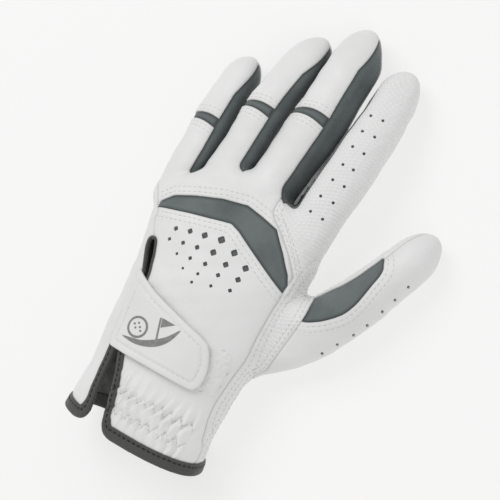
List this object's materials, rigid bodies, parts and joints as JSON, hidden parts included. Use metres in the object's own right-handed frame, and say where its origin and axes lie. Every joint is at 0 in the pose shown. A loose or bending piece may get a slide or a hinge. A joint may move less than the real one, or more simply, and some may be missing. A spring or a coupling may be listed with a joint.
{
  "type": "golf glove",
  "caption": "Left-hand golf glove: leather palm and back, stretch knuckle panel and finger sidewalls, wrist tab closure, bound cuff.",
  "frame": {"origin": "middle of the palm's flat resting face, 57 mm in from the hem under it", "axes": "+X to the thumb side, +Y from the cuff to the fingertips, +Z out of the back of the hand"},
  "size_m": [0.1327, 0.2168, 0.0408],
  "materials": {
    "leather": "smooth white, soft sheen",
    "textured_leather": "white with a fine embossed grain",
    "stretch_fabric": "matt grey stretch knit",
    "edge_binding": "matt dark grey tape",
    "hook_and_loop": "white hook and loop pile",
    "elastic": "white ribbed elastic"
  },
  "bodies": {
    "palm": {"palm_panel": "leather", "back_panel": "leather", "index_side_panel": "textured_leather", "knuckle_stretch_panel": "stretch_fabric", "thumb_root_panel": "leather", "back_hem_binding": "edge_binding", "palm_hem_binding": "edge_binding", "keyhole_binding": "edge_binding", "wrist_elastic": "elastic", "loop_patch": "hook_and_loop"},
    "fingers": {"upper_back_panel": "leather", "index_back_panel": "textured_leather", "finger_front_panel": "leather", "fourchette_little_ring": "stretch_fabric", "fourchette_ring_middle": "stretch_fabric", "fourchette_middle_index": "stretch_fabric"},
    "little_end": {"little_back_tip": "leather", "little_side_tip": "stretch_fabric", "little_front_tip": "leather", "little_stretch_band": "stretch_fabric"},
    "ring_end": {"ring_back_tip": "leather", "ring_side_tip": "stretch_fabric", "ring_front_tip": "leather", "ring_outer_side_tip": "stretch_fabric", "ring_stretch_band": "stretch_fabric"},
    "middle_end": {"middle_back_tip": "leather", "middle_side_tip": "stretch_fabric", "middle_front_tip": "leather", "middle_outer_side_tip": "stretch_fabric", "middle_stretch_band": "stretch_fabric"},
    "index_end": {"index_back_tip": "textured_leather", "index_front_tip": "leather", "index_outer_side_tip": "stretch_fabric"},
    "thumb": {"thumb_gusset": "stretch_fabric", "thumb_back_panel": "leather", "thumb_front_panel": "leather"},
    "thumb_end": {"thumb_back_tip": "leather", "thumb_front_tip": "leather"},
    "tab": {"tab_cover": "leather", "tab_hook_pad": "hook_and_loop"}
  },
  "joints": [
    {"name": "knuckle", "type": "hinge", "parent": "palm", "child": "fingers", "pos_m": [0, 0.05469, 0.00396], "axis": [-0.9945, -0.1044, 0], "range_deg": [-10, 55], "deforming": ["knuckle_stretch_panel"]},
    {"name": "little_joint", "type": "hinge", "parent": "fingers", "child": "little_end", "pos_m": [-0.0327, 0.08786, 0.00847], "axis": [-0.949, -0.0665, -0.3083], "range_deg": [-10, 75], "deforming": ["little_stretch_band"]},
    {"name": "ring_joint", "type": "hinge", "parent": "fingers", "child": "ring_end", "pos_m": [-0.01185, 0.10255, 0.01058], "axis": [-0.9605, 0.0393, -0.2754], "range_deg": [-10, 75], "deforming": ["ring_stretch_band"]},
    {"name": "middle_joint", "type": "hinge", "parent": "fingers", "child": "middle_end", "pos_m": [0.01179, 0.10971, 0.01052], "axis": [-0.9703, -0.0015, -0.2419], "range_deg": [-10, 75], "deforming": ["middle_stretch_band"]},
    {"name": "index_joint", "type": "hinge", "parent": "fingers", "child": "index_end", "pos_m": [0.03689, 0.10206, 0.00894], "axis": [-0.9781, 0.0134, -0.2079], "range_deg": [-10, 75]},
    {"name": "thumb_base", "type": "hinge", "parent": "palm", "child": "thumb", "pos_m": [0.04886, 0.03246, 0.00381], "axis": [-0.6325, 0.5895, 0.5024], "range_deg": [-8, 20]},
    {"name": "thumb_joint", "type": "hinge", "parent": "thumb", "child": "thumb_end", "pos_m": [0.0619, 0.06276, 0.00806], "axis": [-0.4082, 0.2709, 0.8718], "range_deg": [-8, 40]},
    {"name": "tab", "type": "hinge", "parent": "palm", "child": "tab", "pos_m": [-0.02461, -0.00377, 0.03414], "axis": [0.1508, -0.988, -0.035], "range_deg": [0, 105]}
  ]
}
